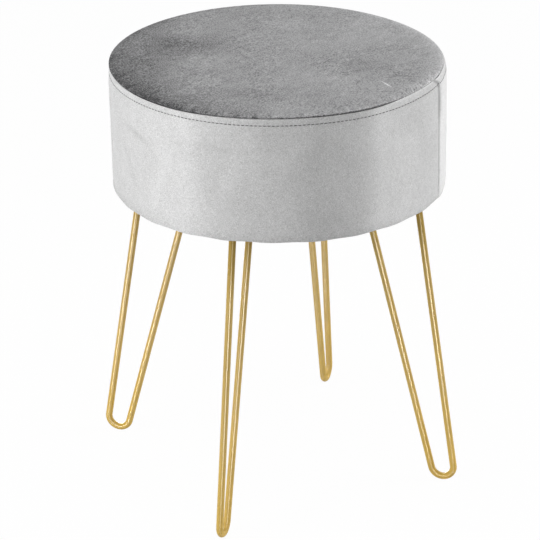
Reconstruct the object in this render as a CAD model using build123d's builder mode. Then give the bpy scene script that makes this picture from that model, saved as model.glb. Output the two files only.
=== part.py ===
from build123d import *
import os
from math import cos, hypot, radians, sin, tan

# Round upholstered footstool on four hairpin legs, in millimetres.
# The origin is on the floor under the centre of the seat, +Z is up and the legs stand on the X and Y axes.

# Seat
seat_diameter = 350
seat_height = 135
underside_height = 330
crown_height = 3
crown_flat_radius = 60
bottom_edge_radius = 4

# Cover: velvet with its backing, folded and top-stitched along the upper edge of the band
cover_thickness = 1.5
fold_rise = 1
fold_draw_in = 1.2
fold_draw_height = 18
seam_allowance = 11.5
cover_clearance = 0.2

# Foam
top_foam_thickness = 30
side_foam_thickness = 4

# Wooden drum
base_board_thickness = 15
top_board_thickness = 12
wall_thickness = 3
wall_joint_gap = 1
wall_joint_angle = 90
board_clearance = 0.2
post_count = 4
post_depth = 36
post_width = 30
post_edge_distance = 8

# Dust cover under the base board
dust_cover_thickness = 0.5
dust_cover_lap = 5
dust_cover_hole_diameter = 7.5

# Hairpin legs
leg_count = 4
rod_diameter = 7.5
bend_radius = 12.3
outer_lean = 8.88
inner_lean = 14.76
outer_prong_inset = 24.6
weld_leg = 2.5
weld_height = 4
weld_toe = 0.4
plate_thickness = 3
plate_width = 44
plate_rim = 0.75
plate_corner_radius = 6
hem_clearance = 1

# Leg bolts and the pronged nuts that they screw into
bolt_diameter = 6
bolt_length = 20
bolt_head_diameter = 10.5
bolt_head_height = 3.3
bolt_head_round = 2.4
bolt_socket_width = 4
bolt_socket_depth = 2
bolt_hole_diameter = 6.6
bolt_prong_offset = 9
bolt_edge_distance = 8
nut_flange_diameter = 18
nut_flange_thickness = 1.2
nut_barrel_diameter = 7.8
nut_barrel_length = 9
nut_hole_diameter = 8
nut_prong_count = 3
nut_prong_length = 6
nut_prong_width = 2.4
nut_prong_thickness = 1.2
nut_prong_inset = 1

# Wood screws of the drum
screw_diameter = 4
screw_length = 40
screw_head_diameter = 8
screw_head_height = 2.6
screw_tip_length = 5
screw_tip_diameter = 1
screw_stagger = 7

# Nails of the bent wall
nails_per_board = 8
nail_diameter = 1.6
nail_length = 18
nail_head_diameter = 5
nail_head_thickness = 0.8

# Staples of the hem and the dust cover
staple_count = 24
staple_crown = 10
staple_wire_width = 1.2
staple_wire_thickness = 0.6
staple_leg_length = 8
staple_edge_distance = 2.5

# Levels, from the floor up
board_bottom = underside_height + cover_thickness
board_top = board_bottom + base_board_thickness
dust_cover_bottom = underside_height - dust_cover_thickness
plate_top = board_bottom - dust_cover_thickness
plate_bottom = plate_top - plate_thickness
crown_top = underside_height + seat_height
crease_height = crown_top - crown_height
fold_top = crease_height + fold_rise
allowance_bottom = fold_top - seam_allowance
foam_crown = crown_top - cover_thickness
top_board_top = foam_crown - top_foam_thickness
top_board_bottom = top_board_top - top_board_thickness

# Radii of the seat's layers, from the outside in
band_radius = seat_diameter / 2
band_inner_radius = band_radius - cover_thickness
fold_inner_radius = band_inner_radius - cover_thickness
tuck_inner_radius = fold_inner_radius - cover_thickness
wall_outer_radius = band_inner_radius - side_foam_thickness
wall_inner_radius = wall_outer_radius - wall_thickness
board_radius = wall_inner_radius - board_clearance
post_radius = board_radius - post_edge_distance - post_depth / 2
post_start_angle = 180 / leg_count

# Hairpin: both prongs are tangent to the bend, and the outer one meets the plate at its inset
rod_radius = rod_diameter / 2
bend_height = rod_radius + bend_radius
outer_reach = bend_radius * cos(radians(outer_lean))
inner_reach = bend_radius * cos(radians(inner_lean))
outer_rise = plate_bottom - bend_height - bend_radius * sin(radians(outer_lean))
inner_rise = plate_bottom - bend_height + bend_radius * sin(radians(inner_lean))
outer_top_radius = band_radius - outer_prong_inset
foot_radius = outer_top_radius + outer_rise * tan(radians(outer_lean)) - outer_reach
inner_top_radius = foot_radius - inner_reach - inner_rise * tan(radians(inner_lean))
outer_tangent = (foot_radius + outer_reach, plate_bottom - outer_rise)
inner_tangent = (foot_radius - inner_reach, plate_bottom - inner_rise)
outer_end = (outer_top_radius - rod_diameter * tan(radians(outer_lean)), plate_bottom + rod_diameter)
inner_end = (inner_top_radius - rod_diameter * tan(radians(inner_lean)), plate_bottom + rod_diameter)

# Leg plate and its bolt pattern, centred between the two prongs
prong_spread = outer_top_radius - inner_top_radius
plate_radius = (outer_top_radius + inner_top_radius) / 2
plate_length = prong_spread + 2 * (rod_radius + weld_leg + plate_rim)
bolt_pitch_long = prong_spread - 2 * bolt_prong_offset
bolt_pitch_wide = plate_width - 2 * bolt_edge_distance
plate_centres = PolarLocations(plate_radius, leg_count)
bolt_pattern = GridLocations(bolt_pitch_long, bolt_pitch_wide, 2, 2)
bolt_places = [centre * bolt for centre in plate_centres for bolt in bolt_pattern]

# The hem under the base board is trimmed clear of the plates' outer corners
plate_end = plate_radius + plate_length / 2
corner_centre = hypot(plate_end - plate_corner_radius, plate_width / 2 - plate_corner_radius)
hem_inner_radius = corner_centre + plate_corner_radius + hem_clearance
dust_cover_radius = hem_inner_radius + dust_cover_lap
staple_radius = hem_inner_radius + staple_edge_distance

low = (Align.CENTER, Align.CENTER, Align.MIN)
leg_angles = [number * 360 / leg_count for number in range(leg_count)]
os.makedirs("parts", exist_ok=True)


def outwards(angle):
    """Level direction from the seat's axis at this angle."""
    return Vector(cos(radians(angle)), sin(radians(angle)), 0)


def upright_plane(angle):
    """Upright plane through the seat's axis, with x running outwards and y running up."""
    return Plane(origin=(0, 0, 0), x_dir=outwards(angle), z_dir=outwards(angle - 90))


def level_plane(angle, radius, height):
    """Level plane at this angle, radius and height, with x running outwards."""
    return Plane(origin=outwards(angle) * radius + Vector(0, 0, height), x_dir=outwards(angle))


def prong_plane(angle, top_radius, lean):
    """Plane square to a prong where its axis meets the plate, with z running up the prong."""
    upwards = Vector(0, 0, cos(radians(lean))) - outwards(angle) * sin(radians(lean))
    origin = outwards(angle) * top_radius + Vector(0, 0, plate_bottom)
    return Plane(origin=origin, x_dir=outwards(angle + 90), z_dir=upwards)


# Leg rods: each is one bent rod, with both ends cut level where they meet the plate
for number, angle in enumerate(leg_angles, start=1):
    with BuildPart() as leg_rod:
        with BuildLine(upright_plane(angle)) as rod_path:
            Line(outer_end, outer_tangent)
            ThreePointArc(outer_tangent, (foot_radius, rod_radius), inner_tangent)
            Line(inner_tangent, inner_end)
        rod_wire = rod_path.wire()
        with BuildSketch(Plane(origin=rod_wire @ 0, z_dir=rod_wire % 0)):
            Circle(rod_radius)
        sweep(path=rod_wire)
        split(bisect_by=Plane.XY.offset(plate_bottom), keep=Keep.BOTTOM)
    leg_rod.part.label = f"leg_rod_{number}"
    export_step(leg_rod.part, f"parts/leg_rod_{number}.step")

# Leg plates
for number, angle in enumerate(leg_angles, start=1):
    with BuildPart() as leg_plate:
        with BuildSketch(level_plane(angle, plate_radius, plate_bottom)):
            RectangleRounded(plate_length, plate_width, plate_corner_radius)
            with GridLocations(bolt_pitch_long, bolt_pitch_wide, 2, 2):
                Circle(bolt_hole_diameter / 2, mode=Mode.SUBTRACT)
        extrude(amount=plate_thickness)
    leg_plate.part.label = f"leg_plate_{number}"
    export_step(leg_plate.part, f"parts/leg_plate_{number}.step")

# Weld beads: a tapered collar round each prong, cut level against the plate
weld_taper = (weld_leg - weld_toe) / weld_height
weld_overrun = weld_height / 2
with BuildPart() as leg_welds:
    for angle in leg_angles:
        for top_radius, lean in ((outer_top_radius, outer_lean), (inner_top_radius, inner_lean)):
            with Locations(prong_plane(angle, top_radius, lean).offset(-weld_height)):
                collar_height = weld_height + weld_overrun
                collar_radius = rod_radius + weld_leg + weld_taper * weld_overrun
                Cone(rod_radius + weld_toe, collar_radius, collar_height, align=low)
                Cylinder(rod_radius, collar_height, align=low, mode=Mode.SUBTRACT)
    split(bisect_by=Plane.XY.offset(plate_bottom), keep=Keep.BOTTOM)
leg_welds.part.label = "leg_welds"
export_step(leg_welds.part, "parts/leg_welds.step")

# Leg bolts: button heads with a hexagon socket
with BuildPart() as leg_bolts:
    with BuildSketch(Plane.XY.offset(plate_bottom)):
        with Locations(*bolt_places):
            Circle(bolt_diameter / 2)
    extrude(amount=bolt_length)
    with BuildSketch(Plane.XY.offset(plate_bottom)):
        with Locations(*bolt_places):
            Circle(bolt_head_diameter / 2)
    extrude(amount=-bolt_head_height)
    fillet(leg_bolts.faces().group_by(Axis.Z)[0].edges(), bolt_head_round)
    with BuildSketch(Plane.XY.offset(plate_bottom - bolt_head_height)):
        with Locations(*bolt_places):
            RegularPolygon(bolt_socket_width / 2, 6, major_radius=False)
    extrude(amount=bolt_socket_depth, mode=Mode.SUBTRACT)
leg_bolts.part.label = "leg_bolts"
export_step(leg_bolts.part, "parts/leg_bolts.step")

# Pronged nuts, driven into the base board from inside the drum
nut_prong_radius = (nut_flange_diameter - nut_prong_thickness) / 2 - nut_prong_inset
with BuildPart() as pronged_nuts:
    with BuildSketch(Plane.XY.offset(board_top)):
        with Locations(*bolt_places):
            Circle(nut_flange_diameter / 2)
    extrude(amount=nut_flange_thickness)
    with BuildSketch(Plane.XY.offset(board_top)):
        with Locations(*bolt_places):
            Circle(nut_barrel_diameter / 2)
    extrude(amount=-nut_barrel_length)
    with BuildSketch(Plane.XY.offset(board_top)):
        with Locations(*bolt_places):
            with PolarLocations(nut_prong_radius, nut_prong_count):
                Rectangle(nut_prong_thickness, nut_prong_width)
    extrude(amount=-nut_prong_length)
    add(leg_bolts.part, mode=Mode.SUBTRACT)
pronged_nuts.part.label = "pronged_nuts"
export_step(pronged_nuts.part, "parts/pronged_nuts.step")

# Frame screws: countersunk, one from each board into every post
with BuildPart() as frame_screws:
    for level, turn, side in ((board_bottom, 0, -screw_stagger), (top_board_top, 180, screw_stagger)):
        with Locations((0, 0, level)):
            with PolarLocations(post_radius, post_count, start_angle=post_start_angle):
                with Locations(Location((0, side, 0), (turn, 0, 0))):
                    Cone(screw_head_diameter / 2, screw_diameter / 2, screw_head_height, align=low)
                    Cylinder(screw_diameter / 2, screw_length - screw_tip_length, align=low)
                    with Locations((0, 0, screw_length - screw_tip_length)):
                        Cone(screw_diameter / 2, screw_tip_diameter / 2, screw_tip_length, align=low)
frame_screws.part.label = "frame_screws"
export_step(frame_screws.part, "parts/frame_screws.step")

# Wall nails: driven through the bent wall into the edges of both boards
with BuildPart() as wall_nails:
    nail_radius = wall_outer_radius - nail_head_thickness
    nail_turn = 180 / nails_per_board
    for level in ((board_bottom + board_top) / 2, (top_board_bottom + top_board_top) / 2):
        with Locations((0, 0, level)):
            with PolarLocations(nail_radius, nails_per_board, start_angle=nail_turn):
                with Locations(Location((0, 0, 0), (0, -90, 0))):
                    Cylinder(nail_diameter / 2, nail_length - nail_head_thickness, align=low)
                with Locations(Location((0, 0, 0), (0, 90, 0))):
                    Cylinder(nail_head_diameter / 2, nail_head_thickness, align=low)
wall_nails.part.label = "wall_nails"
export_step(wall_nails.part, "parts/wall_nails.step")

# Staples: one row holds both the dust cover and the hem under it
with BuildPart() as cover_staples:
    with Locations((0, 0, dust_cover_bottom - staple_wire_thickness)):
        with PolarLocations(staple_radius, staple_count, start_angle=180 / staple_count):
            Box(staple_wire_width, staple_crown, staple_wire_thickness, align=low)
            with GridLocations(0, staple_crown - staple_wire_thickness, 1, 2):
                Box(staple_wire_width, staple_wire_thickness, staple_leg_length, align=low)
cover_staples.part.label = "cover_staples"
export_step(cover_staples.part, "parts/cover_staples.step")

# Base board: every fastener driven into it leaves its own shape
with BuildPart() as base_board:
    with BuildSketch(Plane.XY.offset(board_bottom)):
        Circle(board_radius)
        with Locations(*bolt_places):
            Circle(nut_hole_diameter / 2, mode=Mode.SUBTRACT)
    extrude(amount=base_board_thickness)
    add([pronged_nuts.part, frame_screws.part, wall_nails.part, cover_staples.part], mode=Mode.SUBTRACT)
base_board.part.label = "base_board"
export_step(base_board.part, "parts/base_board.step")

# Top board
with BuildPart() as top_board:
    with BuildSketch(Plane.XY.offset(top_board_bottom)):
        Circle(board_radius)
    extrude(amount=top_board_thickness)
    add([frame_screws.part, wall_nails.part], mode=Mode.SUBTRACT)
top_board.part.label = "top_board"
export_step(top_board.part, "parts/top_board.step")

# Posts between the boards
for number in range(post_count):
    with BuildPart() as frame_post:
        with BuildSketch(level_plane(post_start_angle + number * 360 / post_count, post_radius, board_top)):
            Rectangle(post_depth, post_width)
        extrude(amount=top_board_bottom - board_top)
        add(frame_screws.part, mode=Mode.SUBTRACT)
    frame_post.part.label = f"frame_post_{number + 1}"
    export_step(frame_post.part, f"parts/frame_post_{number + 1}.step")

# Wall panel: hardboard bent round both boards, with an open butt joint
with BuildPart() as wall_panel:
    with BuildSketch(Plane.XY.offset(board_bottom)):
        Circle(wall_outer_radius)
        Circle(wall_inner_radius, mode=Mode.SUBTRACT)
        with PolarLocations(wall_outer_radius, 1, start_angle=wall_joint_angle):
            Rectangle(4 * wall_thickness, wall_joint_gap, mode=Mode.SUBTRACT)
    extrude(amount=top_board_top - board_bottom)
    add(wall_nails.part, mode=Mode.SUBTRACT)
wall_panel.part.label = "wall_panel"
export_step(wall_panel.part, "parts/wall_panel.step")

# Side foam, rounded at its lower edge like the band over it
with BuildPart() as side_foam:
    with BuildSketch(Plane.XY.offset(board_bottom)):
        Circle(band_inner_radius - cover_clearance)
        Circle(wall_outer_radius + cover_clearance, mode=Mode.SUBTRACT)
    extrude(amount=top_board_top - board_bottom)
    lower_edge = side_foam.edges().group_by(Axis.Z)[0].sort_by(SortBy.LENGTH)[-1]
    fillet(lower_edge, bottom_edge_radius - cover_thickness)
side_foam.part.label = "side_foam"
export_step(side_foam.part, "parts/side_foam.step")

# Top foam: crowned, and stepped in where the seam allowances lie
with BuildPart() as top_foam:
    with BuildSketch(Plane.XZ):
        with BuildLine():
            foam_rim = band_inner_radius - cover_clearance
            foam_tuck = tuck_inner_radius - cover_clearance
            foam_shoulder = crease_height - cover_thickness
            Polyline((crown_flat_radius, foam_crown), (0, foam_crown), (0, top_board_top))
            Polyline((0, top_board_top), (foam_rim, top_board_top), (foam_rim, allowance_bottom))
            Line((foam_rim, allowance_bottom), (foam_tuck, allowance_bottom))
            Line((foam_tuck, allowance_bottom), (foam_tuck, foam_shoulder))
            TangentArc((crown_flat_radius, foam_crown), (foam_tuck, foam_shoulder), tangent=(1, 0))
        make_face()
    revolve(axis=Axis.Z)
top_foam.part.label = "top_foam"
export_step(top_foam.part, "parts/top_foam.step")

# Top cover: the crowned velvet panel, whose seam allowance is turned down inside the band
with BuildPart() as top_cover:
    with BuildSketch(Plane.XZ):
        with BuildLine():
            tuck_top = crease_height - cover_thickness
            TangentArc((crown_flat_radius, crown_top), (fold_inner_radius, crease_height), tangent=(1, 0))
            Line((fold_inner_radius, crease_height), (fold_inner_radius, allowance_bottom))
            Line((fold_inner_radius, allowance_bottom), (tuck_inner_radius, allowance_bottom))
            Line((tuck_inner_radius, allowance_bottom), (tuck_inner_radius, tuck_top))
            TangentArc((crown_flat_radius, foam_crown), (tuck_inner_radius, tuck_top), tangent=(1, 0))
            Polyline((crown_flat_radius, foam_crown), (0, foam_crown), (0, crown_top))
            Line((0, crown_top), (crown_flat_radius, crown_top))
        make_face()
    revolve(axis=Axis.Z)
top_cover.part.label = "top_cover"
export_step(top_cover.part, "parts/top_cover.step")

# Side cover: the velvet band, doubled and drawn in at its upper fold and turned under the base board
with BuildPart() as side_cover:
    with BuildSketch(Plane.XZ):
        with BuildLine():
            fold_radius = band_radius - fold_draw_in
            fold_crest = (fold_radius + fold_inner_radius) / 2
            fold_shoulder = fold_top - (fold_radius - fold_inner_radius) / 2
            draw_start = (band_radius, fold_top - fold_draw_height)
            fold_outside = (fold_radius, fold_shoulder)
            fold_inside = (fold_inner_radius, fold_shoulder)
            edge_centre = band_radius - bottom_edge_radius
            edge_height = underside_height + bottom_edge_radius
            Line((hem_inner_radius, underside_height), (edge_centre, underside_height))
            TangentArc((edge_centre, underside_height), (band_radius, edge_height), tangent=(1, 0))
            Line((band_radius, edge_height), draw_start)
            TangentArc(draw_start, fold_outside, tangent=(0, 1))
            ThreePointArc(fold_outside, (fold_crest, fold_top), fold_inside)
            Line(fold_inside, (fold_inner_radius, allowance_bottom))
            Line((fold_inner_radius, allowance_bottom), (band_inner_radius, allowance_bottom))
            Line((band_inner_radius, allowance_bottom), (band_inner_radius, edge_height))
            TangentArc((band_inner_radius, edge_height), (edge_centre, board_bottom), tangent=(0, -1))
            Line((edge_centre, board_bottom), (hem_inner_radius, board_bottom))
            Line((hem_inner_radius, board_bottom), (hem_inner_radius, underside_height))
        make_face()
    revolve(axis=Axis.Z)
    add(cover_staples.part, mode=Mode.SUBTRACT)
side_cover.part.label = "side_cover"
export_step(side_cover.part, "parts/side_cover.step")

# Dust cover: lies against the base board and steps down over the raw edge of the hem
with BuildPart() as dust_cover:
    with BuildSketch(Plane.XY.offset(plate_top)):
        Circle(hem_inner_radius)
    extrude(amount=dust_cover_thickness)
    with BuildSketch(Plane.XY.offset(dust_cover_bottom)):
        Circle(hem_inner_radius)
        Circle(hem_inner_radius - dust_cover_thickness, mode=Mode.SUBTRACT)
    extrude(amount=board_bottom - dust_cover_bottom)
    with BuildSketch(Plane.XY.offset(dust_cover_bottom)):
        Circle(dust_cover_radius)
        Circle(hem_inner_radius - dust_cover_thickness, mode=Mode.SUBTRACT)
    extrude(amount=dust_cover_thickness)
    with BuildSketch(Plane.XY.offset(plate_top)):
        with Locations(*bolt_places):
            Circle(dust_cover_hole_diameter / 2)
    extrude(amount=dust_cover_thickness, mode=Mode.SUBTRACT)
    add(cover_staples.part, mode=Mode.SUBTRACT)
dust_cover.part.label = "dust_cover"
export_step(dust_cover.part, "parts/dust_cover.step")
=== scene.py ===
"""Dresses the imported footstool: velvet seat, top-stitching, gold hairpin legs, dust cover and a white studio."""

from math import atan2, cos, exp, hypot, pi, radians, sin, tanh

import bmesh
import bpy
from bpy.props import FloatProperty, FloatVectorProperty, IntProperty, PointerProperty
from mathutils import Matrix, Vector, noise


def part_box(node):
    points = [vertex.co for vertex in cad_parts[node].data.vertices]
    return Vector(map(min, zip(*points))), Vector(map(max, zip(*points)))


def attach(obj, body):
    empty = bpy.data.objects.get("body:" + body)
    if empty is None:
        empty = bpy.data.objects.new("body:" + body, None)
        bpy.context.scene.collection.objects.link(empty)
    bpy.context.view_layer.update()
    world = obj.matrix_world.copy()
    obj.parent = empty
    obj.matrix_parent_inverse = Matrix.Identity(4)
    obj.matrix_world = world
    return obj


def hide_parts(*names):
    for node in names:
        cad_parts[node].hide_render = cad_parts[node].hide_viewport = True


bl_info = {
    "name": "Velvet Footstool",
    "version": (1, 0, 0),
    "blender": (4, 5, 0),
    "location": "3D View > Sidebar > Footstool",
    "description": "Models the soft pieces and the legs of a round footstool on its packed solids",
    "category": "Object",
}

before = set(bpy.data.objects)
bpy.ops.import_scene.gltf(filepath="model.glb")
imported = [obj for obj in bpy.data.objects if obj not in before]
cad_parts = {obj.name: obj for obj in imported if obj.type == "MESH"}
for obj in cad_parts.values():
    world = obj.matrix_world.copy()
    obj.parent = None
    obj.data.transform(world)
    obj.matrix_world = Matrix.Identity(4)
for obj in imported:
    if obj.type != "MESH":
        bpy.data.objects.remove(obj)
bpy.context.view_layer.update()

MM = 0.001
band_low, band_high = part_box("side_cover")
panel_low, panel_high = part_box("top_cover")
foam_low, foam_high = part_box("top_foam")
wall_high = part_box("wall_panel")[1]
board_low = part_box("base_board")[0]
rod_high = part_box("leg_rod_1")[1]
cloth_low, cloth_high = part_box("dust_cover")
fold_top = band_high.z - 0.7 * MM

leg_count = 4
post_count = 4
staple_count = 24
merge_reach = MM / 50
swell_pressure = 4
swell_frames = 20

# The photo's camera stands in front of the seat; directions on the seat are counted from there.
view_azimuth = radians(17.75)
view_elevation = radians(24.49)
view_distance = 2.678
view_centre = Vector((-0.0089, -0.0007, 0.2218))
lens_length = 166.9
sensor_width = 36
facing = view_azimuth - pi / 2
leftward = Vector((sin(facing), -cos(facing), 0))
top_side = Vector((cos(facing - radians(70)), sin(facing - radians(70)), 0))

# Tone of the pile before painted shade, painted light and marks are added, from 0 for the deep colour to 1 for the
# light one.
top_tone = 0.69
band_tone = 0.5


def linear(code):
    """Turns an sRGB hex colour into linear red, green, blue and alpha."""
    shares = [int(code[place : place + 2], 16) / 255 for place in (1, 3, 5)]
    return [share / 12.92 if share <= 0.04045 else ((share + 0.055) / 1.055) ** 2.4 for share in shares] + [1]


class FootstoolSeat(bpy.types.PropertyGroup):
    """Sizes of the padded seat."""

    band_radius: FloatProperty(
        name="Band radius", description="Outside of the velvet band", default=band_high.x - 0.6 * MM, unit="LENGTH"
    )
    fold_width: FloatProperty(
        name="Fold width", description="Thickness of the band where it is doubled", default=1.9 * MM, unit="LENGTH"
    )
    fold_draw_in: FloatProperty(
        name="Fold draw-in", description="How far the top-stitching draws the fold in", default=1.1 * MM, unit="LENGTH"
    )
    stitch_drop: FloatProperty(
        name="Stitch drop", description="From the fold down to the top-stitching", default=7.8 * MM, unit="LENGTH"
    )
    stitch_count: IntProperty(name="Stitches", description="Stitches once round the band", default=254)
    seam_tilt: FloatProperty(
        name="Seam tilt", description="How far the sewn edge rises on its high side", default=3.2 * MM, unit="LENGTH"
    )
    seam_high_side: FloatProperty(
        name="Seam's high side", description="Direction of the high side", default=radians(15), subtype="ANGLE"
    )
    top_shift: FloatProperty(
        name="Top shift", description="How far the top sits to one side", default=2 * MM, unit="LENGTH"
    )
    slack_corner: FloatProperty(
        name="Slack", description="How far the softest part of the edge is drawn in", default=1.6 * MM, unit="LENGTH"
    )
    lean: FloatProperty(
        name="Lean", description="How far the band leans to the left over its height", default=2.5 * MM, unit="LENGTH"
    )
    band_seam: FloatProperty(
        name="Band seam", description="Direction of the band's upright seam", default=radians(-3.2), subtype="ANGLE"
    )
    edge_radius: FloatProperty(
        name="Lower edge", description="Rounding of the band's lower edge", default=4 * MM, unit="LENGTH"
    )
    hem_wave: FloatProperty(
        name="Hem wave", description="How far the staples pull the lower edge up", default=1.2 * MM, unit="LENGTH"
    )
    hem_drop: FloatProperty(
        name="Hem drop", description="How far the lower edge hangs down at the left", default=2.4 * MM, unit="LENGTH"
    )


class FootstoolLegs(bpy.types.PropertyGroup):
    """Sizes of the hairpin legs."""

    rod_diameter: FloatProperty(
        name="Rod diameter", description="Diameter of the bent rod", default=7.5 * MM, unit="LENGTH"
    )
    bend_radius: FloatProperty(
        name="Bend radius", description="Radius of the foot, on the rod's axis", default=12.3 * MM, unit="LENGTH"
    )
    outer_lean: FloatProperty(
        name="Outer lean", description="Lean of the outer prong", default=radians(8.88), subtype="ANGLE"
    )
    inner_lean: FloatProperty(
        name="Inner lean", description="Lean of the inner prong", default=radians(14.76), subtype="ANGLE"
    )


class FootstoolColours(bpy.types.PropertyGroup):
    """Colours of the finishes."""

    # The top is the band's velvet given darker colours: painted shade, for a top that takes less light than the band
    # and whose nap faces away.
    top_deep: FloatVectorProperty(
        name="Top, deep", description="Top, against the nap", subtype="COLOR", size=4, default=linear("#484849")
    )
    top_light: FloatVectorProperty(
        name="Top, light", description="Top, along the nap", subtype="COLOR", size=4, default=linear("#BEBEBF")
    )
    band_deep: FloatVectorProperty(
        name="Band, deep", description="Band, against the nap", subtype="COLOR", size=4, default=linear("#9C9C9C")
    )
    band_light: FloatVectorProperty(
        name="Band, light", description="Band, along the nap", subtype="COLOR", size=4, default=linear("#E2E2E2")
    )
    # Darker than the velvet: the thread's grey with painted shade for the groove it lies in.
    thread: FloatVectorProperty(
        name="Thread", description="Top-stitching thread", subtype="COLOR", size=4, default=linear("#434344")
    )
    gold: FloatVectorProperty(
        name="Gold", description="Gold lacquer of the legs", subtype="COLOR", size=4, default=linear("#B29446")
    )
    cloth: FloatVectorProperty(
        name="Dust cover", description="Cloth under the seat", subtype="COLOR", size=4, default=linear("#2B2B2C")
    )


def add_node(tree, kind, inputs=None, **settings):
    """Adds a node, with its settings, and gives its inputs a value or a link."""
    node = tree.nodes.new(kind)
    for name, value in settings.items():
        setattr(node, name, value)
    for name, value in (inputs or {}).items():
        if isinstance(value, bpy.types.NodeSocket):
            tree.links.new(value, node.inputs[name])
        else:
            node.inputs[name].default_value = value
    return node


def calculate(tree, operation, *values):
    """Works out one number from others."""
    return add_node(tree, "ShaderNodeMath", dict(enumerate(values)), operation=operation).outputs[0]


def remap(tree, value, before, after, **settings):
    """Turns one range of a number into another and stops at its ends."""
    inputs = {"Value": value, "From Min": before[0], "From Max": before[1], "To Min": after[0], "To Max": after[1]}
    return add_node(tree, "ShaderNodeMapRange", inputs, **settings).outputs[0]


def blended(tree, share, deep, light, **settings):
    """Mixes two colours."""
    inputs = {"Factor": share, 6: deep, 7: light}
    return add_node(tree, "ShaderNodeMix", inputs, data_type="RGBA", **settings).outputs[2]


def tinted(tree, colour, tone):
    """Multiplies a colour by a tone."""
    return blended(tree, 1.0, colour, tone, blend_type="MULTIPLY")


def mottled(tree, coords, size, detail, distortion=0.0):
    """Uneven spots of about this size."""
    inputs = {"Vector": coords, "Scale": 1 / size, "Detail": detail, "Distortion": distortion}
    return add_node(tree, "ShaderNodeTexNoise", inputs).outputs[0]


def laid(tree, coords, turn, size, place=(0, 0, 0)):
    """Coordinates that start at a place, turned and measured in this size."""
    inputs = {"Vector": coords, "Location": place, "Rotation": turn, "Scale": size}
    return add_node(tree, "ShaderNodeMapping", inputs, vector_type="TEXTURE").outputs[0]


def embossed(tree, pattern, strength, depth):
    """Normals of a surface that follows a pattern."""
    return add_node(tree, "ShaderNodeBump", {"Height": pattern, "Strength": strength, "Distance": depth}).outputs[0]


def painted(tree, name):
    """Number painted on the mesh under this name."""
    return add_node(tree, "ShaderNodeAttribute", attribute_name=name).outputs["Fac"]


def start_material(name):
    """Makes an empty node material and returns it with its tree and object coordinates."""
    material = bpy.data.materials.new(name)
    material.use_nodes = True
    tree = material.node_tree
    tree.nodes.clear()
    coords = add_node(tree, "ShaderNodeTexCoord").outputs["Object"]
    return material, tree, coords


def end_material(material, tree, inputs):
    """Adds the shader with these inputs and links it to the material's output."""
    shader = add_node(tree, "ShaderNodeBsdfPrincipled", inputs)
    add_node(tree, "ShaderNodeOutputMaterial", {"Surface": shader.outputs[0]})
    return material


def velvet(name, deep, light, sheen, grain_size, rows, shares, gathers=None, marks=()):
    """Cut velvet: dense upright pile that shows a soft grain, brushed patches and a pale sheen at its edges."""
    material, tree, coords = start_material(name)
    # The pile is about 0.2 mm across, too fine to show, so its grain is drawn several times as coarse.
    turn, stretch = rows
    pile = laid(tree, coords, (0, 0, turn), (stretch, 1, 1))
    grain = mottled(tree, pile, grain_size, 1.0)
    strokes = mottled(tree, pile, 6 * grain_size, 2.0)
    patches = mottled(tree, coords, 40 * MM, 2.0)
    patterns = list(zip((grain, strokes, patches), shares))
    # Gathers are short slanting ridges along the sewn edge, drawn only as lighter and darker stripes of painted shade
    # where the attribute of that name is painted.
    if gathers:
        turn, pitch = gathers
        ridges = mottled(tree, laid(tree, coords, (0, 0, turn), (6, 1, 1)), pitch, 0.0)
        patterns.append((ridges, painted(tree, "gathers")))
    # Each pattern moves the colour between the deep and the light tone of the pile, starting from a painted tone that
    # holds the pile's tone with painted shade, painted highlights and painted sheen.
    tone = painted(tree, "nap_and_shade")
    for pattern, share in patterns:
        tone = calculate(tree, "MULTIPLY_ADD", calculate(tree, "SUBTRACT", pattern, 0.5), share, tone)
    # A mark is a long soft oval where the pile is pressed down or pulled up.
    for place, turn, size, strength in marks:
        oval = laid(tree, coords, turn, Vector(size) / 2, place)
        reach = add_node(tree, "ShaderNodeVectorMath", {0: oval}, operation="LENGTH").outputs["Value"]
        tone = calculate(tree, "ADD", tone, remap(tree, reach, (1, 0), (0, strength)))
    return end_material(
        material,
        tree,
        {
            "Base Color": blended(tree, calculate(tree, "MAXIMUM", tone, 0.0), deep, light, clamp_factor=False),
            "Roughness": 0.95,
            "Specular IOR Level": 0.0,
            "Sheen Weight": sheen,
            "Sheen Roughness": 0.45,
            "Sheen Tint": linear("#E8E8E8"),
            "Normal": embossed(tree, grain, 0.5, 0.5 * MM),
        },
    )


def thread(name, colour):
    """Twisted polyester thread: a fine slanting twist with a slight lustre."""
    material, tree, coords = start_material(name)
    # The twist is about 0.4 mm; it is drawn at 0.9 mm so that it shows.
    twist = mottled(tree, coords, 0.9 * MM, 1.0)
    return end_material(
        material,
        tree,
        {
            "Base Color": tinted(tree, colour, remap(tree, twist, (0, 1), (0.7, 1.25))),
            "Roughness": 0.6,
            "Specular IOR Level": 0.15,
            "Sheen Weight": 0.2,
            "Normal": embossed(tree, twist, 0.6, 0.1 * MM),
        },
    )


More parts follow.
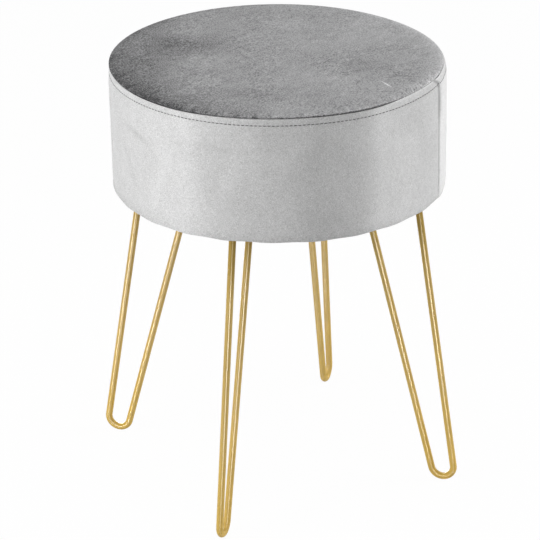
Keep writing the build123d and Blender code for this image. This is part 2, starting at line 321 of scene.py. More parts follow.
def gold_lacquer(name, colour, along=None):
    """Gold lacquer sprayed on steel: satin, slightly cloudy, with a pale highlight drawn out along the rods."""
    material, tree, coords = start_material(name)
    peel = mottled(tree, coords, 0.9 * MM, 2.0)
    clouds = mottled(tree, coords, 24 * MM, 3.0)
    height = add_node(tree, "ShaderNodeSeparateXYZ", {"Vector": coords}).outputs["Z"]
    # Under the seat the upper ends of the rods are painted darker as painted shade, and their shine is turned down
    # along the same ramp.
    lit_level, shaded_level = 1.0, 0.8
    shade_span = (rod_high.z - 80 * MM, rod_high.z - 20 * MM)
    seat_shade = remap(tree, height, shade_span, (lit_level, shaded_level), interpolation_type="SMOOTHSTEP")
    # Towards the feet the lacquer is painted paler, as painted light from the floor's bounce, and scuffs near the
    # floor have taken off some of its shine.
    floor_light = remap(tree, height, (30 * MM, 200 * MM), (1.3, 1.0))
    scuffs = remap(tree, height, (40 * MM, 105 * MM), (0.6, 1.0))
    tone = remap(tree, clouds, (0, 1), (0.9, 1.1))
    for change in (seat_shade, floor_light):
        tone = calculate(tree, "MULTIPLY", tone, change)
    shine = remap(tree, seat_shade, (shaded_level, lit_level), (0.08, 0.28))
    inputs = {
        "Base Color": tinted(tree, colour, tone),
        "Roughness": 0.37,
        "IOR": 1.8,
        "Specular IOR Level": calculate(tree, "MULTIPLY", shine, scuffs),
        "Normal": embossed(tree, peel, 0.04, 0.02 * MM),
    }
    if along:
        # Fine ripples run round the rod, so what it mirrors is drawn out along it.
        axis = add_node(tree, "ShaderNodeAttribute", attribute_name=along)
        inputs.update({"Anisotropic": 0.95, "Tangent": axis.outputs["Vector"]})
    return end_material(material, tree, inputs)


def zinc_steel(name):
    """Zinc-plated steel: pale blue-grey metal with a fine spangle and a dull shine."""
    material, tree, coords = start_material(name)
    spangle = add_node(tree, "ShaderNodeTexVoronoi", {"Vector": coords, "Scale": 1 / (1.6 * MM)}).outputs
    return end_material(
        material,
        tree,
        {
            "Base Color": blended(tree, spangle["Color"], linear("#9FA3A8"), linear("#C9CCD0")),
            "Metallic": 1.0,
            "Roughness": remap(tree, spangle["Distance"], (0, 1), (0.3, 0.48)),
        },
    )


def wood(name, deep, light, grain_width, stretch, direction):
    """Sawn or peeled wood: streaks along the grain, pores and a dry matt surface."""
    material, tree, coords = start_material(name)
    scale = tuple(stretch if axis == direction else 1 for axis in "XYZ")
    along = add_node(tree, "ShaderNodeMapping", {"Vector": coords, "Scale": scale}).outputs[0]
    streaks = mottled(tree, along, grain_width, 4.0, 0.6)
    return end_material(
        material,
        tree,
        {
            "Base Color": blended(tree, streaks, deep, light),
            "Roughness": 0.75,
            "Normal": embossed(tree, streaks, 0.3, 0.3 * MM),
        },
    )


def nonwoven(name, colour):
    """Spunbonded cloth: flat random fibres, pressed with a grid of small dots, slightly shiny and thin."""
    material, tree, coords = start_material(name)
    # Bond dots sit about 1 mm apart; they are drawn 2.4 mm apart so that they show.
    grid = {"Vector": coords, "Scale": 1 / (2.4 * MM), "Randomness": 0.15}
    dots = add_node(tree, "ShaderNodeTexVoronoi", grid, voronoi_dimensions="2D").outputs["Distance"]
    fibres = mottled(tree, coords, 1.1 * MM, 4.0, 1.5)
    return end_material(
        material,
        tree,
        {
            "Base Color": tinted(tree, colour, remap(tree, fibres, (0, 1), (0.6, 1.5))),
            "Roughness": 0.7,
            "Sheen Weight": 0.1,
            "Normal": embossed(tree, dots, 0.5, 0.2 * MM),
        },
    )


def seen(tree):
    """1 for what the camera sees directly, mirrored or through something, 0 for what only gives light."""
    rays = add_node(tree, "ShaderNodeLightPath").outputs
    direct = calculate(tree, "MAXIMUM", rays["Is Camera Ray"], rays["Is Glossy Ray"])
    return calculate(tree, "MAXIMUM", direct, rays["Is Transmission Ray"])


def white_paper(name):
    """Matt white paper that gives off nearly all the white that the camera sees, so that it keeps a faint shadow."""
    material, tree, _ = start_material(name)
    share = calculate(tree, "MULTIPLY", seen(tree), 0.97)
    paper = add_node(tree, "ShaderNodeBsdfDiffuse", {"Color": linear("#F4F4F4")})
    glow = add_node(tree, "ShaderNodeEmission", {"Color": linear("#FFFFFF"), "Strength": 1.0})
    mixed = add_node(tree, "ShaderNodeMixShader", {0: share, 1: paper.outputs[0], 2: glow.outputs[0]})
    add_node(tree, "ShaderNodeOutputMaterial", {"Surface": mixed.outputs[0]})
    return material


def white_world(name):
    """Even white air that looks brighter than it lights."""
    world = bpy.data.worlds.new(name)
    world.use_nodes = True
    tree = world.node_tree
    tree.nodes.clear()
    level = remap(tree, seen(tree), (0, 1), (0.43, 1.0))
    air = add_node(tree, "ShaderNodeBackground", {"Color": linear("#FFFFFF"), "Strength": level})
    add_node(tree, "ShaderNodeOutputWorld", {"Surface": air.outputs[0]})
    return world


def draw_outline(name, corners):
    """Starts a piece as a chain of edges in the XZ plane, extruded from corner to corner."""
    bpy.ops.object.select_all(action="DESELECT")
    bpy.ops.mesh.primitive_plane_add(size=MM)
    piece = bpy.context.object
    piece.name = name
    bpy.ops.object.mode_set(mode="EDIT")
    bpy.ops.mesh.merge(type="CENTER")
    places = [Vector((radius, 0, height)) for radius, height in corners]
    bpy.ops.transform.translate(value=places[0])
    for start, end in zip(places, places[1:]):
        bpy.ops.mesh.extrude_vertices_move(TRANSFORM_OT_translate={"value": end - start})
    return piece


def select_points(piece, test):
    """Selects the points whose place passes the test, with the edges and faces between them."""
    bpy.ops.mesh.select_mode(type="VERT")
    bpy.ops.mesh.select_all(action="DESELECT")
    mesh = bmesh.from_edit_mesh(piece.data)
    for point in mesh.verts:
        point.select = test(point.co)
    mesh.select_flush(True)
    bmesh.update_edit_mesh(piece.data)


def select_run(piece, start, end):
    """Selects the part of an outline between two of its corners."""
    low = Vector(map(min, start, end)) - Vector((MM, MM)) / 20
    high = Vector(map(max, start, end)) + Vector((MM, MM)) / 20
    select_points(piece, lambda place: low.x < place.x < high.x and low.y < place.z < high.y)


def divide_runs(piece, corners, cuts):
    """Divides the straight runs of an outline, each named by the number of the corner where it starts."""
    for start, number in cuts.items():
        select_run(piece, corners[start], corners[start + 1])
        bpy.ops.mesh.subdivide(number_cuts=number)


def round_corner(piece, corner, radius, segments):
    """Rounds one corner of an outline."""
    select_run(piece, corner, corner)
    bpy.ops.mesh.bevel(offset=radius, segments=segments, affect="VERTICES")


def close_mesh():
    """Merges the points that meet and turns all faces outwards."""
    bpy.ops.mesh.select_all(action="SELECT")
    bpy.ops.mesh.remove_doubles(threshold=merge_reach)
    bpy.ops.mesh.normals_make_consistent(inside=False)
    bpy.ops.object.mode_set(mode="OBJECT")


def spin_round(steps, **settings):
    """Spins what is drawn once round the seat's axis and closes it."""
    bpy.ops.mesh.select_all(action="SELECT")
    bpy.ops.mesh.spin(steps=steps, angle=2 * pi, center=(0, 0, 0), axis=(0, 0, 1), **settings)
    close_mesh()


def swell(piece, held, limit):
    """Lets a padded piece swell as cloth under pressure, with the held points pinned and every move limited."""
    rest = [point.co.copy() for point in piece.data.vertices]
    group = piece.vertex_groups.new(name="held")
    group.add([point.index for point in piece.data.vertices if held(point.co)], 1, "REPLACE")
    bpy.ops.object.modifier_add(type="CLOTH")
    cloth = piece.modifiers[-1]
    cloth.collision_settings.use_collision = False
    cloth.settings.vertex_group_mass = group.name
    cloth.settings.use_pressure = True
    cloth.settings.uniform_pressure_force = swell_pressure
    cloth.settings.effector_weights.gravity = 0
    for number in range(1, swell_frames + 1):
        bpy.context.scene.frame_set(number)
    bpy.ops.object.modifier_apply(modifier=cloth.name)
    bpy.context.scene.frame_set(1)
    piece.vertex_groups.clear()
    for point, start in zip(piece.data.vertices, rest):
        move = point.co - start
        if move.length > 0:
            point.co = start + move.normalized() * limit * tanh(move.length / limit)


def refine(piece, levels):
    """Divides and smooths the whole piece."""
    bpy.ops.object.modifier_add(type="SUBSURF")
    smoother = piece.modifiers[-1]
    smoother.levels = smoother.render_levels = levels
    smoother.use_limit_surface = False
    bpy.ops.object.modifier_apply(modifier=smoother.name)
    bpy.ops.object.shade_smooth()


def polar(place):
    """Direction and distance of a place from the seat's axis."""
    return atan2(place.y, place.x), hypot(place.x, place.y)


def widen(point, scale):
    """Moves a point away from the seat's axis or towards it."""
    point.co.x *= scale
    point.co.y *= scale


def ease(value, start, end):
    """Goes smoothly from 0 at the start to 1 at the end."""
    share = min(1, max(0, (value - start) / (end - start)))
    return share * share * (3 - 2 * share)


def bell(distance, width):
    """A smooth bump of height 1."""
    return exp(-((distance / width) ** 2))


def fading(inward, reach):
    """Fades from 1 at an edge towards 0 inside it."""
    return exp(-max(0, inward) / reach)


def sector(turned, middle, outer, inner):
    """Part of the seat's edge round a direction in degrees: 0 up to the outer cosine, 1 from the inner one on."""
    return ease(cos(turned - radians(middle)), outer, inner)


def humps(turned, table):
    """Sum of bumps along the seat's edge, each with its direction and width in degrees and its height."""
    return sum(height * bell(turned - radians(middle), radians(width)) for middle, width, height in table)


def ripple(angle, length, row):
    """Uneven waves of about this length along the seat's edge, the same in every run."""
    turns = band_high.x / length
    return noise.noise(Vector((cos(angle) * turns, sin(angle) * turns, row)))


def turn_from(angle, middle):
    """Signed angle from the middle, between minus and plus half a turn."""
    return (angle - middle + pi) % (2 * pi) - pi


def slackness(angle):
    """Where the padding is softer, at the back right."""
    return bell(turn_from(angle, facing + radians(115)), radians(38))


def seam_lift(seat, angle):
    """How far the sewn edge lies above its mean height."""
    tilt = seat.seam_tilt * cos(angle - seat.seam_high_side) * (0.75 + 0.25 * cos(angle - facing))
    dip = 1.1 * MM * bell(turn_from(angle, facing + radians(34)), radians(20))
    return tilt - dip - 0.8 * seat.slack_corner * slackness(angle)


def lean_at(seat, height):
    """How far the leaning band stands to the left at this height."""
    return leftward * seat.lean * ((height - band_low.z) / (fold_top - band_low.z) - 0.5)


def upright_seam(seat, angle, height):
    """Distance along the band from its upright seam, and how far that seam is pressed in there."""
    stitch = fold_top - seat.stitch_drop
    # Above the stitching the seam slants, because the fold turned it over.
    along = turn_from(angle, seat.band_seam) * seat.band_radius + 11 * MM * ease(height, stitch, fold_top)
    width = 1.3 * MM + 1.3 * MM * ease(height, stitch - 45 * MM, stitch - 30 * MM)
    return along, bell(along, width) * ease(height, band_low.z, band_low.z + 20 * MM)


def band_relief(seat, angle, height):
    """How far the band stands out from its mean radius."""
    along, seam = upright_seam(seat, angle, height)
    raised = ease(along, 0, 4 * MM) * (1 - ease(along, 10 * MM, 30 * MM))
    drawn_in = seat.slack_corner * slackness(angle) * ease(height, fold_top - seat.stitch_drop, fold_top)
    uneven = ripple(angle, 120 * MM, height / (90 * MM))
    return 0.8 * MM * raised - 0.6 * MM * seam + 0.5 * MM * uneven - drawn_in


def top_mark(x, y, turn, length, width, strength):
    """A brush mark on the seat's top, in millimetres and degrees, for the velvet."""
    place = Vector((x * MM, y * MM, panel_high.z))
    return place, (0, 0, radians(turn)), (length * MM, width * MM, 1), strength


def band_mark(turned, depth, tilt, length, width, strength):
    """A brush mark on the band, this far round from the front and below the fold, for the velvet."""
    angle = facing + radians(turned)
    place = Vector((cos(angle) * band_high.x, sin(angle) * band_high.x, fold_top - depth * MM))
    return place, (0, radians(tilt), angle + pi / 2), (length * MM, 120 * MM, width * MM), strength


def prong(bend, lean, offset):
    """Foot and direction of a prong that leaves its bend at this offset from the bend's middle."""
    return bend + Vector((cos(lean), 0, sin(lean))) * offset, Vector((-sin(lean), 0, cos(lean)))


def rod_direction(place, bend, outer_up, inner_up):
    """Direction of the first rod's axis beside a place on it."""
    offset = place - bend
    middle_up = outer_up + inner_up
    up = outer_up if offset.x * middle_up.z > offset.z * middle_up.x else inner_up
    return up if offset.dot(up) > 0 else Vector((-offset.z, 0, offset.x)).normalized()


def coat(thing, material):
    """Makes a material the only one of a piece or a solid."""
    thing.data.materials.clear()
    thing.data.materials.append(material)


def dress(piece, material, slot, *nodes):
    """Gives a finished piece its material, puts it on the body and hides the solids that it stands for; the slot is
    not used.
    """
    coat(piece, material)
    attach(piece, "root")
    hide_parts(*nodes)


class FOOTSTOOL_OT_top_panel(bpy.types.Operator):
    """Models the padded velvet top, rolled over at its seam."""

    bl_idname = "footstool.top_panel"
    bl_label = "Velvet top"

    def execute(self, context):
        seat = context.scene.footstool_seat
        colours = context.scene.footstool_colours
        rim = panel_high.x - 0.1 * MM
        crown = panel_high.z - 0.4 * MM
        crease = crown - 4.7 * MM
        floor = foam_low.z + 0.1 * MM
        corners = [
            (0, crown),
            (rim - 24 * MM, crown - 0.1 * MM),
            (rim - 8 * MM, crown - 0.2 * MM),
            # The rolled edge, over the band's fold and back into the seam.
            (rim - 1.2 * MM, crown - 0.5 * MM),
            (rim + 0.3 * MM, crown - 0.9 * MM),
            (rim + 0.9 * MM, crown - 1.5 * MM),
            (rim + 0.4 * MM, crown - 2.2 * MM),
            (rim - 1.2 * MM, crease),
            # The tucked allowance, then the foam's side and underside.
            (rim - 1.2 * MM, panel_low.z),
            (foam_high.x, panel_low.z),
            (foam_high.x, floor),
            (0, floor),
        ]
        piece = draw_outline("seat_top", corners)
        divide_runs(piece, corners, {0: 9, 1: 2, 2: 2, 7: 1})
        spin_round(steps=200)
        swell(piece, lambda place: place.z < crown - 1 * MM or polar(place)[1] > rim - 3 * MM, limit=1.2 * MM)
        refine(piece, levels=2)
        paint = piece.data.attributes
        for name in ("nap_and_shade", "gathers"):
            paint.new(name, "FLOAT", "POINT")
        for point, tone, gathered in zip(piece.data.vertices, paint["nap_and_shade"].data, paint["gathers"].data):
            angle, radius = polar(point.co)
            turned = turn_from(angle, facing)
            inward = rim - radius
            across = sin(turned) * radius / rim
            above = ease(point.co.z, crease, crown - 2.2 * MM)
            # The seam gathers the edge, least at the back, and the gathers' ridges are also painted lighter and darker
            # in the tone as painted shade; fine ridges of painted shade show at the right, by the band's upright seam.
            gathers = ripple(angle, 5 * MM, 3) * exp(-abs(inward) / (7 * MM)) * above
            gathers *= 0.2 + 0.8 * sector(turned, 0, -0.3, 0.4)
            gathered.value = sector(turned, 56, 0.93, 0.985) * (1 - ease(inward, 4 * MM, 11 * MM))
            # At the left the pile stands up along the rolled edge and makes it fuzzy.
            fuzz = 1.2 * ripple(angle, 1.7 * MM, 11) * bell(inward + 0.5 * MM, 1.6 * MM) * above
            fuzz *= sector(turned, -48, 0.3, 0.8)
            slack = 0.4 * MM * ripple(angle, 160 * MM, 8) * ease(radius, 0.4 * rim, rim)
            # Painted shade under the roll in front and along the left edge, painted shade that darkens the top towards
            # its left side, and a painted sheen along the right edge.
            roll_shade = ease(point.co.z, crown - 1.1 * MM, crown - 1.9 * MM) * sector(turned, 5, 0.62, 0.85)
            roll_shade *= 0.2 + 0.8 * ease(turned, radians(-15), radians(12))
            shaded = 0.42 * sector(turned, -52, 0.55, 0.97) * fading(inward, 16 * MM)
            shaded += 0.16 * sector(turned, -140, 0.7, 0.95) * fading(inward, 9 * MM)
            shade_towards_left = 0.18 * (1 - ease(across, -0.78, -0.45)) - 0.12 * across
            rim_sheen = 0.4 * sector(turned, 103, 0.42, 0.92) * fading(inward, 6 * MM)
            tone.value = top_tone - shaded - shade_towards_left + rim_sheen - 0.6 * roll_shade + 0.3 * gathers
            widen(point, 1 - seat.slack_corner * slackness(angle) * ease(radius, rim - 30 * MM, rim) / rim)
            point.co += top_side * seat.top_shift * above
            point.co.z += (0.6 * gathers + fuzz) * MM + slack + seam_lift(seat, angle) * min(1, radius / rim)
        bpy.ops.object.shade_smooth()
        # A short pulled mark near the right of the top, a long faint fold line beyond it, and hands' brush marks.
        marks = (
            top_mark(129.4, -52.7, -42, 28, 2.8, 1.1),
            top_mark(98, -17, 39, 230, 2.6, -0.22),
            top_mark(-86, 4, 20, 130, 90, -0.26),
            top_mark(96, 0, 12, 150, 100, -0.2),
            top_mark(106, 49, 12, 70, 50, -0.12),
            top_mark(147, -27, 50, 70, 40, -0.2),
            top_mark(22, -118, 12, 170, 75, -0.16),
            top_mark(72, 98, -30, 120, 95, 0.1),
            top_mark(-85, -77, -30, 90, 60, 0.08),
        )
        finish = velvet(
            "velvet_top",
            colours.top_deep,
            colours.top_light,
            sheen=0.12,
            grain_size=1.0 * MM,
            rows=(radians(65), 2),
            shares=(1.7, 0.4, 0.3),
            gathers=(radians(-61), 1.7 * MM),
            marks=marks,
        )
        dress(piece, finish, "velvet_top", "top_cover", "top_foam")
        return {"FINISHED"}


class FOOTSTOOL_OT_band(bpy.types.Operator):
    """Models the velvet band with its sewn fold, upright seam and turned-under hem."""

    bl_idname = "footstool.band"
    bl_label = "Velvet band"

    def execute(self, context):
        seat = context.scene.footstool_seat
        colours = context.scene.footstool_colours
        outer = seat.band_radius
        fold_outer = outer - seat.fold_draw_in
        fold_inner = panel_high.x + 0.1 * MM
        stitch = fold_top - seat.stitch_drop
        bottom = band_low.z
        hem = board_low.z - 0.1 * MM
        hem_end = cloth_high.x - 5 * MM
        wall = wall_high.x + 0.2 * MM
        lining = foam_high.x + 0.1 * MM
        shelf = foam_low.z - 0.1 * MM
        corners = [
            (hem_end, bottom),
            (outer, bottom),
            # The outside, drawn in by the stitching, and over the fold.
            (outer, stitch - 12 * MM),
            (fold_outer + 0.2 * MM, stitch),
            (fold_outer, fold_top - 1.2 * MM),
            (fold_outer - seat.fold_width / 2, fold_top),
            (fold_inner, fold_top - 1.2 * MM),
            # The inside, past the top's foam and down the drum's wall to the hem.
            (fold_inner, panel_low.z),
            (lining, panel_low.z),
            (lining, shelf),
            (wall, shelf),
            (wall, hem),
            (hem_end, hem),
        ]
        piece = draw_outline("seat_band", [*corners, corners[0]])
        bpy.ops.mesh.select_all(action="SELECT")
        bpy.ops.mesh.remove_doubles(threshold=merge_reach)
        divide_runs(piece, corners, {1: 7, 2: 3, 3: 3, 6: 1})
        round_corner(piece, corners[1], seat.edge_radius, segments=2)
        spin_round(steps=200)
        low, high = bottom + 5 * MM, stitch - 5 * MM
        swell(piece, lambda place: polar(place)[1] < outer - 0.5 * MM or not low <= place.z <= high, limit=0.8 * MM)
        refine(piece, levels=2)
        # Along the fold, one hump and two dips in millimetres; on the pile, upright bands of painted light and painted
        # shade round the band, paler and darker than the rest.
        fold_bumps = ((48, 16, 0.5), (-46, 20, -1.0), (35, 10, -0.7))
        strokes = ((-37, 11, 0.14), (42, 12, 0.16), (-31, 5, 0.08), (35.5, 4, 0.13), (16, 14, -0.12))
        nap_and_shade = piece.data.attributes.new("nap_and_shade", "FLOAT", "POINT")
        for point, tone in zip(piece.data.vertices, nap_and_shade.data):
            angle, radius = polar(point.co)
            turned = turn_from(angle, facing)
            height = point.co.z
            in_fold = height > panel_low.z + 0.3 * MM
            outside = 1 if in_fold else ease(radius, lining, lining + 0.6 * MM)
            along, seam = upright_seam(seat, angle, height)
            furrow = bell(height - stitch, 0.9 * MM)
            widen(point, 1 + (band_relief(seat, angle, height) - 0.25 * MM * furrow) * outside / radius)
            point.co += lean_at(seat, height) * outside
            # The staples pull the hem up in waves, and it hangs lower at the left.
            pull = 0.5 * cos(staple_count * angle - pi) + ripple(angle, 70 * MM, 2)
            drop = seat.hem_drop * (0.25 + sector(turned, -80, 0.1, 0.95))
            hem_part = exp(-(height - bottom) / (14 * MM)) * ease(radius, wall, outer)
            point.co.z += (seat.hem_wave * pull - drop) * hem_part
            point.co.z += seam_lift(seat, angle) * ease(height, bottom + 20 * MM, stitch - 12 * MM)
            fold_lift = humps(turned, fold_bumps) - 0.6 * sector(turned, -2, 0.7, 0.88)
            point.co.z += fold_lift * MM * ease(height, fold_top - 5 * MM, fold_top)
            # Beyond the upright seam the nap runs the other way, and the band there is painted paler as painted light
            # on that nap; the fold's lip beside it carries a painted highlight.
            lit_beyond_seam = 0.4 * ease(along, 0, 3 * MM) * (1 - ease(along, 30 * MM, 240 * MM))
            lit_beyond_seam *= 1 - 0.6 * ease(height, stitch - 2 * MM, stitch + 2 * MM)
            lip_highlight = 0.5 * bell(height - fold_top, 1.2 * MM) * sector(turned, 62, 0.85, 0.97)
            # Beside the upright seam under the stitching the band is painted darker as painted shade, the lower edge
            # turns away from the light and is painted darker as painted shade, and the seam's groove and the
            # stitching's furrow are painted dark as painted shade.
            seam_side_shade = 0.24 * bell(along - 2 * MM, 5 * MM) * ease(height, stitch - 42 * MM, stitch - 22 * MM)
            under = 0.16 * bell(height - bottom, 7 * MM)
            dark = 0.5 * seam + seam_side_shade + under + 0.15 * furrow
            tone.value = band_tone + humps(turned, strokes) + lit_beyond_seam + lip_highlight - dark
        bpy.ops.object.shade_smooth()
        marks = (
            band_mark(-54, 44, 14, 60, 12, -0.18),
            band_mark(-60, 80, 60, 60, 14, -0.12),
            band_mark(-44, 90, -70, 90, 24, 0.1),
            band_mark(-20, 36, 4, 75, 12, -0.1),
            band_mark(-16, 62, -75, 75, 26, 0.14),
            band_mark(5, 34, -60, 60, 40, 0.13),
            band_mark(56, 44, 70, 60, 30, -0.1),
            band_mark(48, 22, 0, 90, 40, -0.12),
            band_mark(20, 112, 0, 80, 30, -0.09),
            band_mark(-29, 120, 0, 60, 26, -0.08),
        )
        finish = velvet(
            "velvet_band",
            colours.band_deep,
            colours.band_light,
            sheen=0.25,
            grain_size=0.75 * MM,
            rows=(0, 1),
            shares=(1.6, 0.25, 0.25),
            marks=marks,
        )
        dress(piece, finish, "velvet_band", "side_cover", "side_foam")
        return {"FINISHED"}


class FOOTSTOOL_OT_stitching(bpy.types.Operator):
    """Models the row of top-stitching under the band's fold."""

    bl_idname = "footstool.stitching"
    bl_label = "Top-stitching"

    def execute(self, context):
        seat = context.scene.footstool_seat
        stitch = fold_top - seat.stitch_drop
        radius = seat.band_radius - seat.fold_draw_in + 0.05 * MM
        pitch = 2 * pi * radius / seat.stitch_count
        bpy.ops.object.select_all(action="DESELECT")
        bpy.ops.mesh.primitive_cylinder_add(
            vertices=6, radius=0.42 * MM, depth=0.76 * pitch, location=(radius, 0, stitch), rotation=(pi / 2, 0, 0)
        )
        piece = context.object
        piece.name = "top_stitching"
        bpy.ops.object.transform_apply()
        bpy.ops.object.mode_set(mode="EDIT")
        # Both ends of the stitch dive into the cloth.
        bpy.ops.mesh.select_all(action="SELECT")
        bpy.ops.mesh.bisect(plane_co=(radius, 0, stitch), plane_no=(0, 1, 0))
        select_points(piece, lambda place: abs(place.y) > 0.3 * pitch)
        bpy.ops.transform.translate(value=(-0.5 * MM, 0, 0))
        spin_round(steps=seat.stitch_count, dupli=True)
        for point in piece.data.vertices:
            angle = polar(point.co)[0]
            widen(point, 1 + band_relief(seat, angle, stitch) / radius)
            point.co.z += seam_lift(seat, angle)
            point.co += lean_at(seat, stitch)
        bpy.ops.object.shade_smooth()
        coat(piece, thread("polyester_thread", context.scene.footstool_colours.thread))
        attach(piece, "root")
        return {"FINISHED"}


class FOOTSTOOL_OT_legs(bpy.types.Operator):
    """Models one bent rod, copies it to the four legs and lacquers the plates and welds."""

    bl_idname = "footstool.legs"
    bl_label = "Hairpin legs"

    def execute(self, context):
        legs = context.scene.footstool_legs
        rod = legs.rod_diameter / 2
        top = rod_high.z
        bend = Vector((rod_high.x - rod - legs.bend_radius, 0, rod + legs.bend_radius))
        outer_foot, outer_up = prong(bend, legs.outer_lean, legs.bend_radius)
        inner_foot, inner_up = prong(bend, legs.inner_lean, -legs.bend_radius)
        # Both prongs are drawn past the plate and then cut level with it.
        outer_run = outer_up * ((top - outer_foot.z) / outer_up.z + 2 * rod)
        inner_run = inner_up * ((top - inner_foot.z) / inner_up.z + 2 * rod)
        bpy.ops.object.select_all(action="DESELECT")
        bpy.ops.mesh.primitive_circle_add(
            vertices=32, radius=rod, location=outer_foot + outer_run, rotation=(0, -legs.outer_lean, 0)
        )
        piece = context.object
        piece.name = "hairpin_rod_1"
        bpy.ops.object.transform_apply()
        bpy.ops.object.mode_set(mode="EDIT")
        bpy.ops.mesh.select_all(action="SELECT")
        bpy.ops.mesh.extrude_region_move(TRANSFORM_OT_translate={"value": -outer_run})
        turn = pi - legs.inner_lean + legs.outer_lean
        bpy.ops.mesh.spin(steps=28, angle=turn, center=bend, axis=(0, -1, 0))
        bpy.ops.mesh.extrude_region_move(TRANSFORM_OT_translate={"value": inner_run})
        bpy.ops.mesh.select_all(action="SELECT")
        bpy.ops.mesh.remove_doubles(threshold=merge_reach)
        bpy.ops.mesh.select_all(action="SELECT")
        bpy.ops.mesh.bisect(plane_co=(0, 0, top), plane_no=(0, 0, 1), clear_outer=True, use_fill=True)
        close_mesh()
        bpy.ops.object.shade_smooth_by_angle(angle=radians(40))
        rods = [piece]
        for number in range(1, leg_count):
            bpy.ops.object.select_all(action="DESELECT")
            piece.select_set(True)
            context.view_layer.objects.active = piece
            bpy.ops.object.duplicate()
            copy = context.object
            copy.name = f"hairpin_rod_{number + 1}"
            copy.rotation_euler.z = number * 2 * pi / leg_count
            bpy.ops.object.transform_apply()
            rods.append(copy)
        gold = context.scene.footstool_colours.gold
        rod_finish = gold_lacquer("gold_lacquer_rods", gold, "rod_axis")
        plate_finish = gold_lacquer("gold_lacquer_plates", gold)
        for number, copy in enumerate(rods):
            turned = Matrix.Rotation(number * 2 * pi / leg_count, 3, "Z")
            axis = copy.data.attributes.new("rod_axis", "FLOAT_VECTOR", "POINT")
            for point, along in zip(copy.data.vertices, axis.data):
                along.vector = turned @ rod_direction(turned.transposed() @ point.co, bend, outer_up, inner_up)
            dress(copy, rod_finish, "gold_lacquer", f"leg_rod_{number + 1}")
        for name in ("leg_welds", *(f"leg_plate_{number}" for number in range(1, leg_count + 1))):
            coat(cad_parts[name], plate_finish)
        return {"FINISHED"}


class FOOTSTOOL_OT_dust_cover(bpy.types.Operator):
    """Models the thin cloth stapled under the base board."""

    bl_idname = "footstool.dust_cover"
    bl_label = "Dust cover"

    def execute(self, context):
        level = cloth_high.z - 0.3 * MM
        lap = cloth_low.z + 0.3 * MM
        edge = cloth_high.x
        step = edge - 5.2 * MM
        corners = [(0, level), (step - MM, level), (step, lap), (edge, lap)]
        piece = draw_outline("underside_cloth", corners)
        divide_runs(piece, corners, {0: 20, 2: 2})
        spin_round(steps=180)
        for point in piece.data.vertices:
            angle, radius = polar(point.co)
            between_legs = ease(abs(sin(2 * angle)), 0.35, 0.8) * ease(radius, 30 * MM, 80 * MM)
            creases = noise.noise(point.co * 30) * 0.5 + noise.noise(point.co * 75) * 0.3
            sag = (0.5 * MM + 0.7 * MM * creases) * (1 - ease(radius, step - 20 * MM, step - 2 * MM))
            point.co.z -= max(0, sag) * between_legs
        bpy.ops.object.modifier_add(type="SOLIDIFY")
        piece.modifiers[-1].thickness = 0.4 * MM
        bpy.ops.object.modifier_apply(modifier=piece.modifiers[-1].name)
        bpy.ops.object.shade_smooth()
        dress(piece, nonwoven("spunbonded_cloth", context.scene.footstool_colours.cloth), "nonwoven", "dust_cover")
        return {"FINISHED"}


class FOOTSTOOL_OT_frame(bpy.types.Operator):
    """Gives the wooden drum inside the seat and its fasteners their finishes."""

    bl_idname = "footstool.frame"
    bl_label = "Drum and fasteners"

    def execute(self, context):
        plywood = wood("birch_plywood", linear("#B48F5F"), linear("#DEC49B"), 3 * MM, 0.08, "X")
        softwood = wood("spruce_softwood", linear("#C89C62"), linear("#EAD2A2"), 4 * MM, 0.06, "Z")
        hardboard = wood("hardboard", linear("#6A4A30"), linear("#8B6744"), 1.2 * MM, 1.0, "Z")
        zinc = zinc_steel("zinc_plated_steel")
        finishes = {
            plywood: ["base_board", "top_board"],
            softwood: [f"frame_post_{number}" for number in range(1, post_count + 1)],
            hardboard: ["wall_panel"],
            zinc: ["leg_bolts", "pronged_nuts", "frame_screws", "wall_nails", "cover_staples"],
        }
        for material, names in finishes.items():
            for name in names:
                coat(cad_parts[name], material)
        return {"FINISHED"}


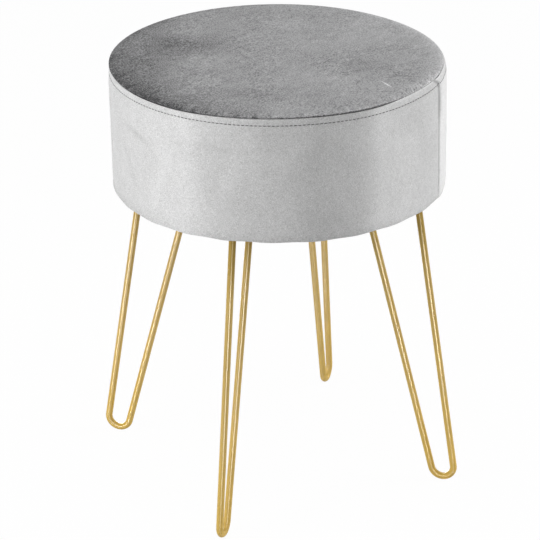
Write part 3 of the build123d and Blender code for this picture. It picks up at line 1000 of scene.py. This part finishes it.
class FOOTSTOOL_OT_studio(bpy.types.Operator):
    """Sets up the white floor, the soft lights and the camera."""

    bl_idname = "footstool.studio"
    bl_label = "Studio"

    def execute(self, context):
        scene = context.scene
        scene.view_settings.view_transform = "Standard"
        bpy.ops.object.select_all(action="DESELECT")
        bpy.ops.mesh.primitive_plane_add(size=14)
        floor = context.object
        floor.name = "studio_floor"
        coat(floor, white_paper("white_paper"))
        scene.world = white_world("studio_world")

        seat_middle = Vector((0, 0, 0.35))
        left_leg = Vector((-0.17, 0, 0.17))
        right_leg = Vector((0.17, 0, 0.13))
        narrow = radians(40)
        # Name, target, degrees right of the camera, distance, rise, width, height, power and spread of each lamp,
        # and whether it lights cloth and shines in metal.
        lamps = (
            ("left_softbox", seat_middle, -66, 2.2, 0.6, 1.3, 1.3, 32, pi, True, False),
            ("right_softbox", seat_middle, 94, 2.2, 0.6, 1.1, 1.3, 29, pi, True, False),
            ("top_softbox", seat_middle, -30, 0.6, 2.2, 1.6, 1.6, 8, pi, True, True),
            ("front_card", seat_middle, 4, 1.1, 0.0, 0.3, 0.7, 26, pi, False, True),
            ("left_card", left_leg, -34, 0.6, 0.1, 0.2, 0.6, 2.1, narrow, False, True),
            ("right_card", right_leg, 16, 0.6, 0.0, 0.2, 0.6, 1.2, narrow, False, True),
            ("back_card", seat_middle, 195, 1.1, 0.0, 0.4, 0.7, 45, pi, False, True),
        )
        for name, target, turned, distance, rise, width, height, power, spread, on_cloth, on_metal in lamps:
            angle = facing + radians(turned)
            place = target + Vector((cos(angle) * distance, sin(angle) * distance, rise))
            bpy.ops.object.light_add(type="AREA", location=place)
            lamp = context.object
            lamp.name = name
            lamp.rotation_euler = (target - place).to_track_quat("-Z", "Y").to_euler()
            lamp.data.shape = "RECTANGLE"
            lamp.data.size = width
            lamp.data.size_y = height
            lamp.data.energy = power
            lamp.data.spread = spread
            lamp.visible_diffuse = on_cloth
            lamp.visible_glossy = on_metal

        level = cos(view_elevation)
        back = Vector((cos(facing) * level, sin(facing) * level, sin(view_elevation)))
        bpy.ops.object.camera_add(location=view_centre + back * view_distance)
        camera = context.object
        camera.rotation_euler = (-back).to_track_quat("-Z", "Y").to_euler()
        camera.data.lens = lens_length
        camera.data.sensor_width = sensor_width
        scene.camera = camera
        return {"FINISHED"}


class FOOTSTOOL_PT_sidebar(bpy.types.Panel):
    """Lists the footstool's sizes, colours and steps."""

    bl_idname = "FOOTSTOOL_PT_sidebar"
    bl_label = "Footstool"
    bl_space_type = "VIEW_3D"
    bl_region_type = "UI"
    bl_category = "Footstool"

    def draw(self, context):
        for group in (context.scene.footstool_seat, context.scene.footstool_legs, context.scene.footstool_colours):
            box = self.layout.box()
            for name in group.__annotations__:
                box.prop(group, name)
        for step in steps:
            self.layout.operator(step.bl_idname)


steps = (
    FOOTSTOOL_OT_top_panel,
    FOOTSTOOL_OT_band,
    FOOTSTOOL_OT_stitching,
    FOOTSTOOL_OT_legs,
    FOOTSTOOL_OT_dust_cover,
    FOOTSTOOL_OT_frame,
    FOOTSTOOL_OT_studio,
)
classes = (FootstoolSeat, FootstoolLegs, FootstoolColours, *steps, FOOTSTOOL_PT_sidebar)


def register():
    for kind in classes:
        bpy.utils.register_class(kind)
    bpy.types.Scene.footstool_seat = PointerProperty(type=FootstoolSeat)
    bpy.types.Scene.footstool_legs = PointerProperty(type=FootstoolLegs)
    bpy.types.Scene.footstool_colours = PointerProperty(type=FootstoolColours)


def unregister():
    del bpy.types.Scene.footstool_seat
    del bpy.types.Scene.footstool_legs
    del bpy.types.Scene.footstool_colours
    for kind in reversed(classes):
        bpy.utils.unregister_class(kind)


def main():
    register()
    bpy.ops.footstool.top_panel()
    bpy.ops.footstool.band()
    bpy.ops.footstool.stitching()
    bpy.ops.footstool.legs()
    bpy.ops.footstool.dust_cover()
    bpy.ops.footstool.frame()
    bpy.ops.footstool.studio()


if __name__ == "__main__":
    main()
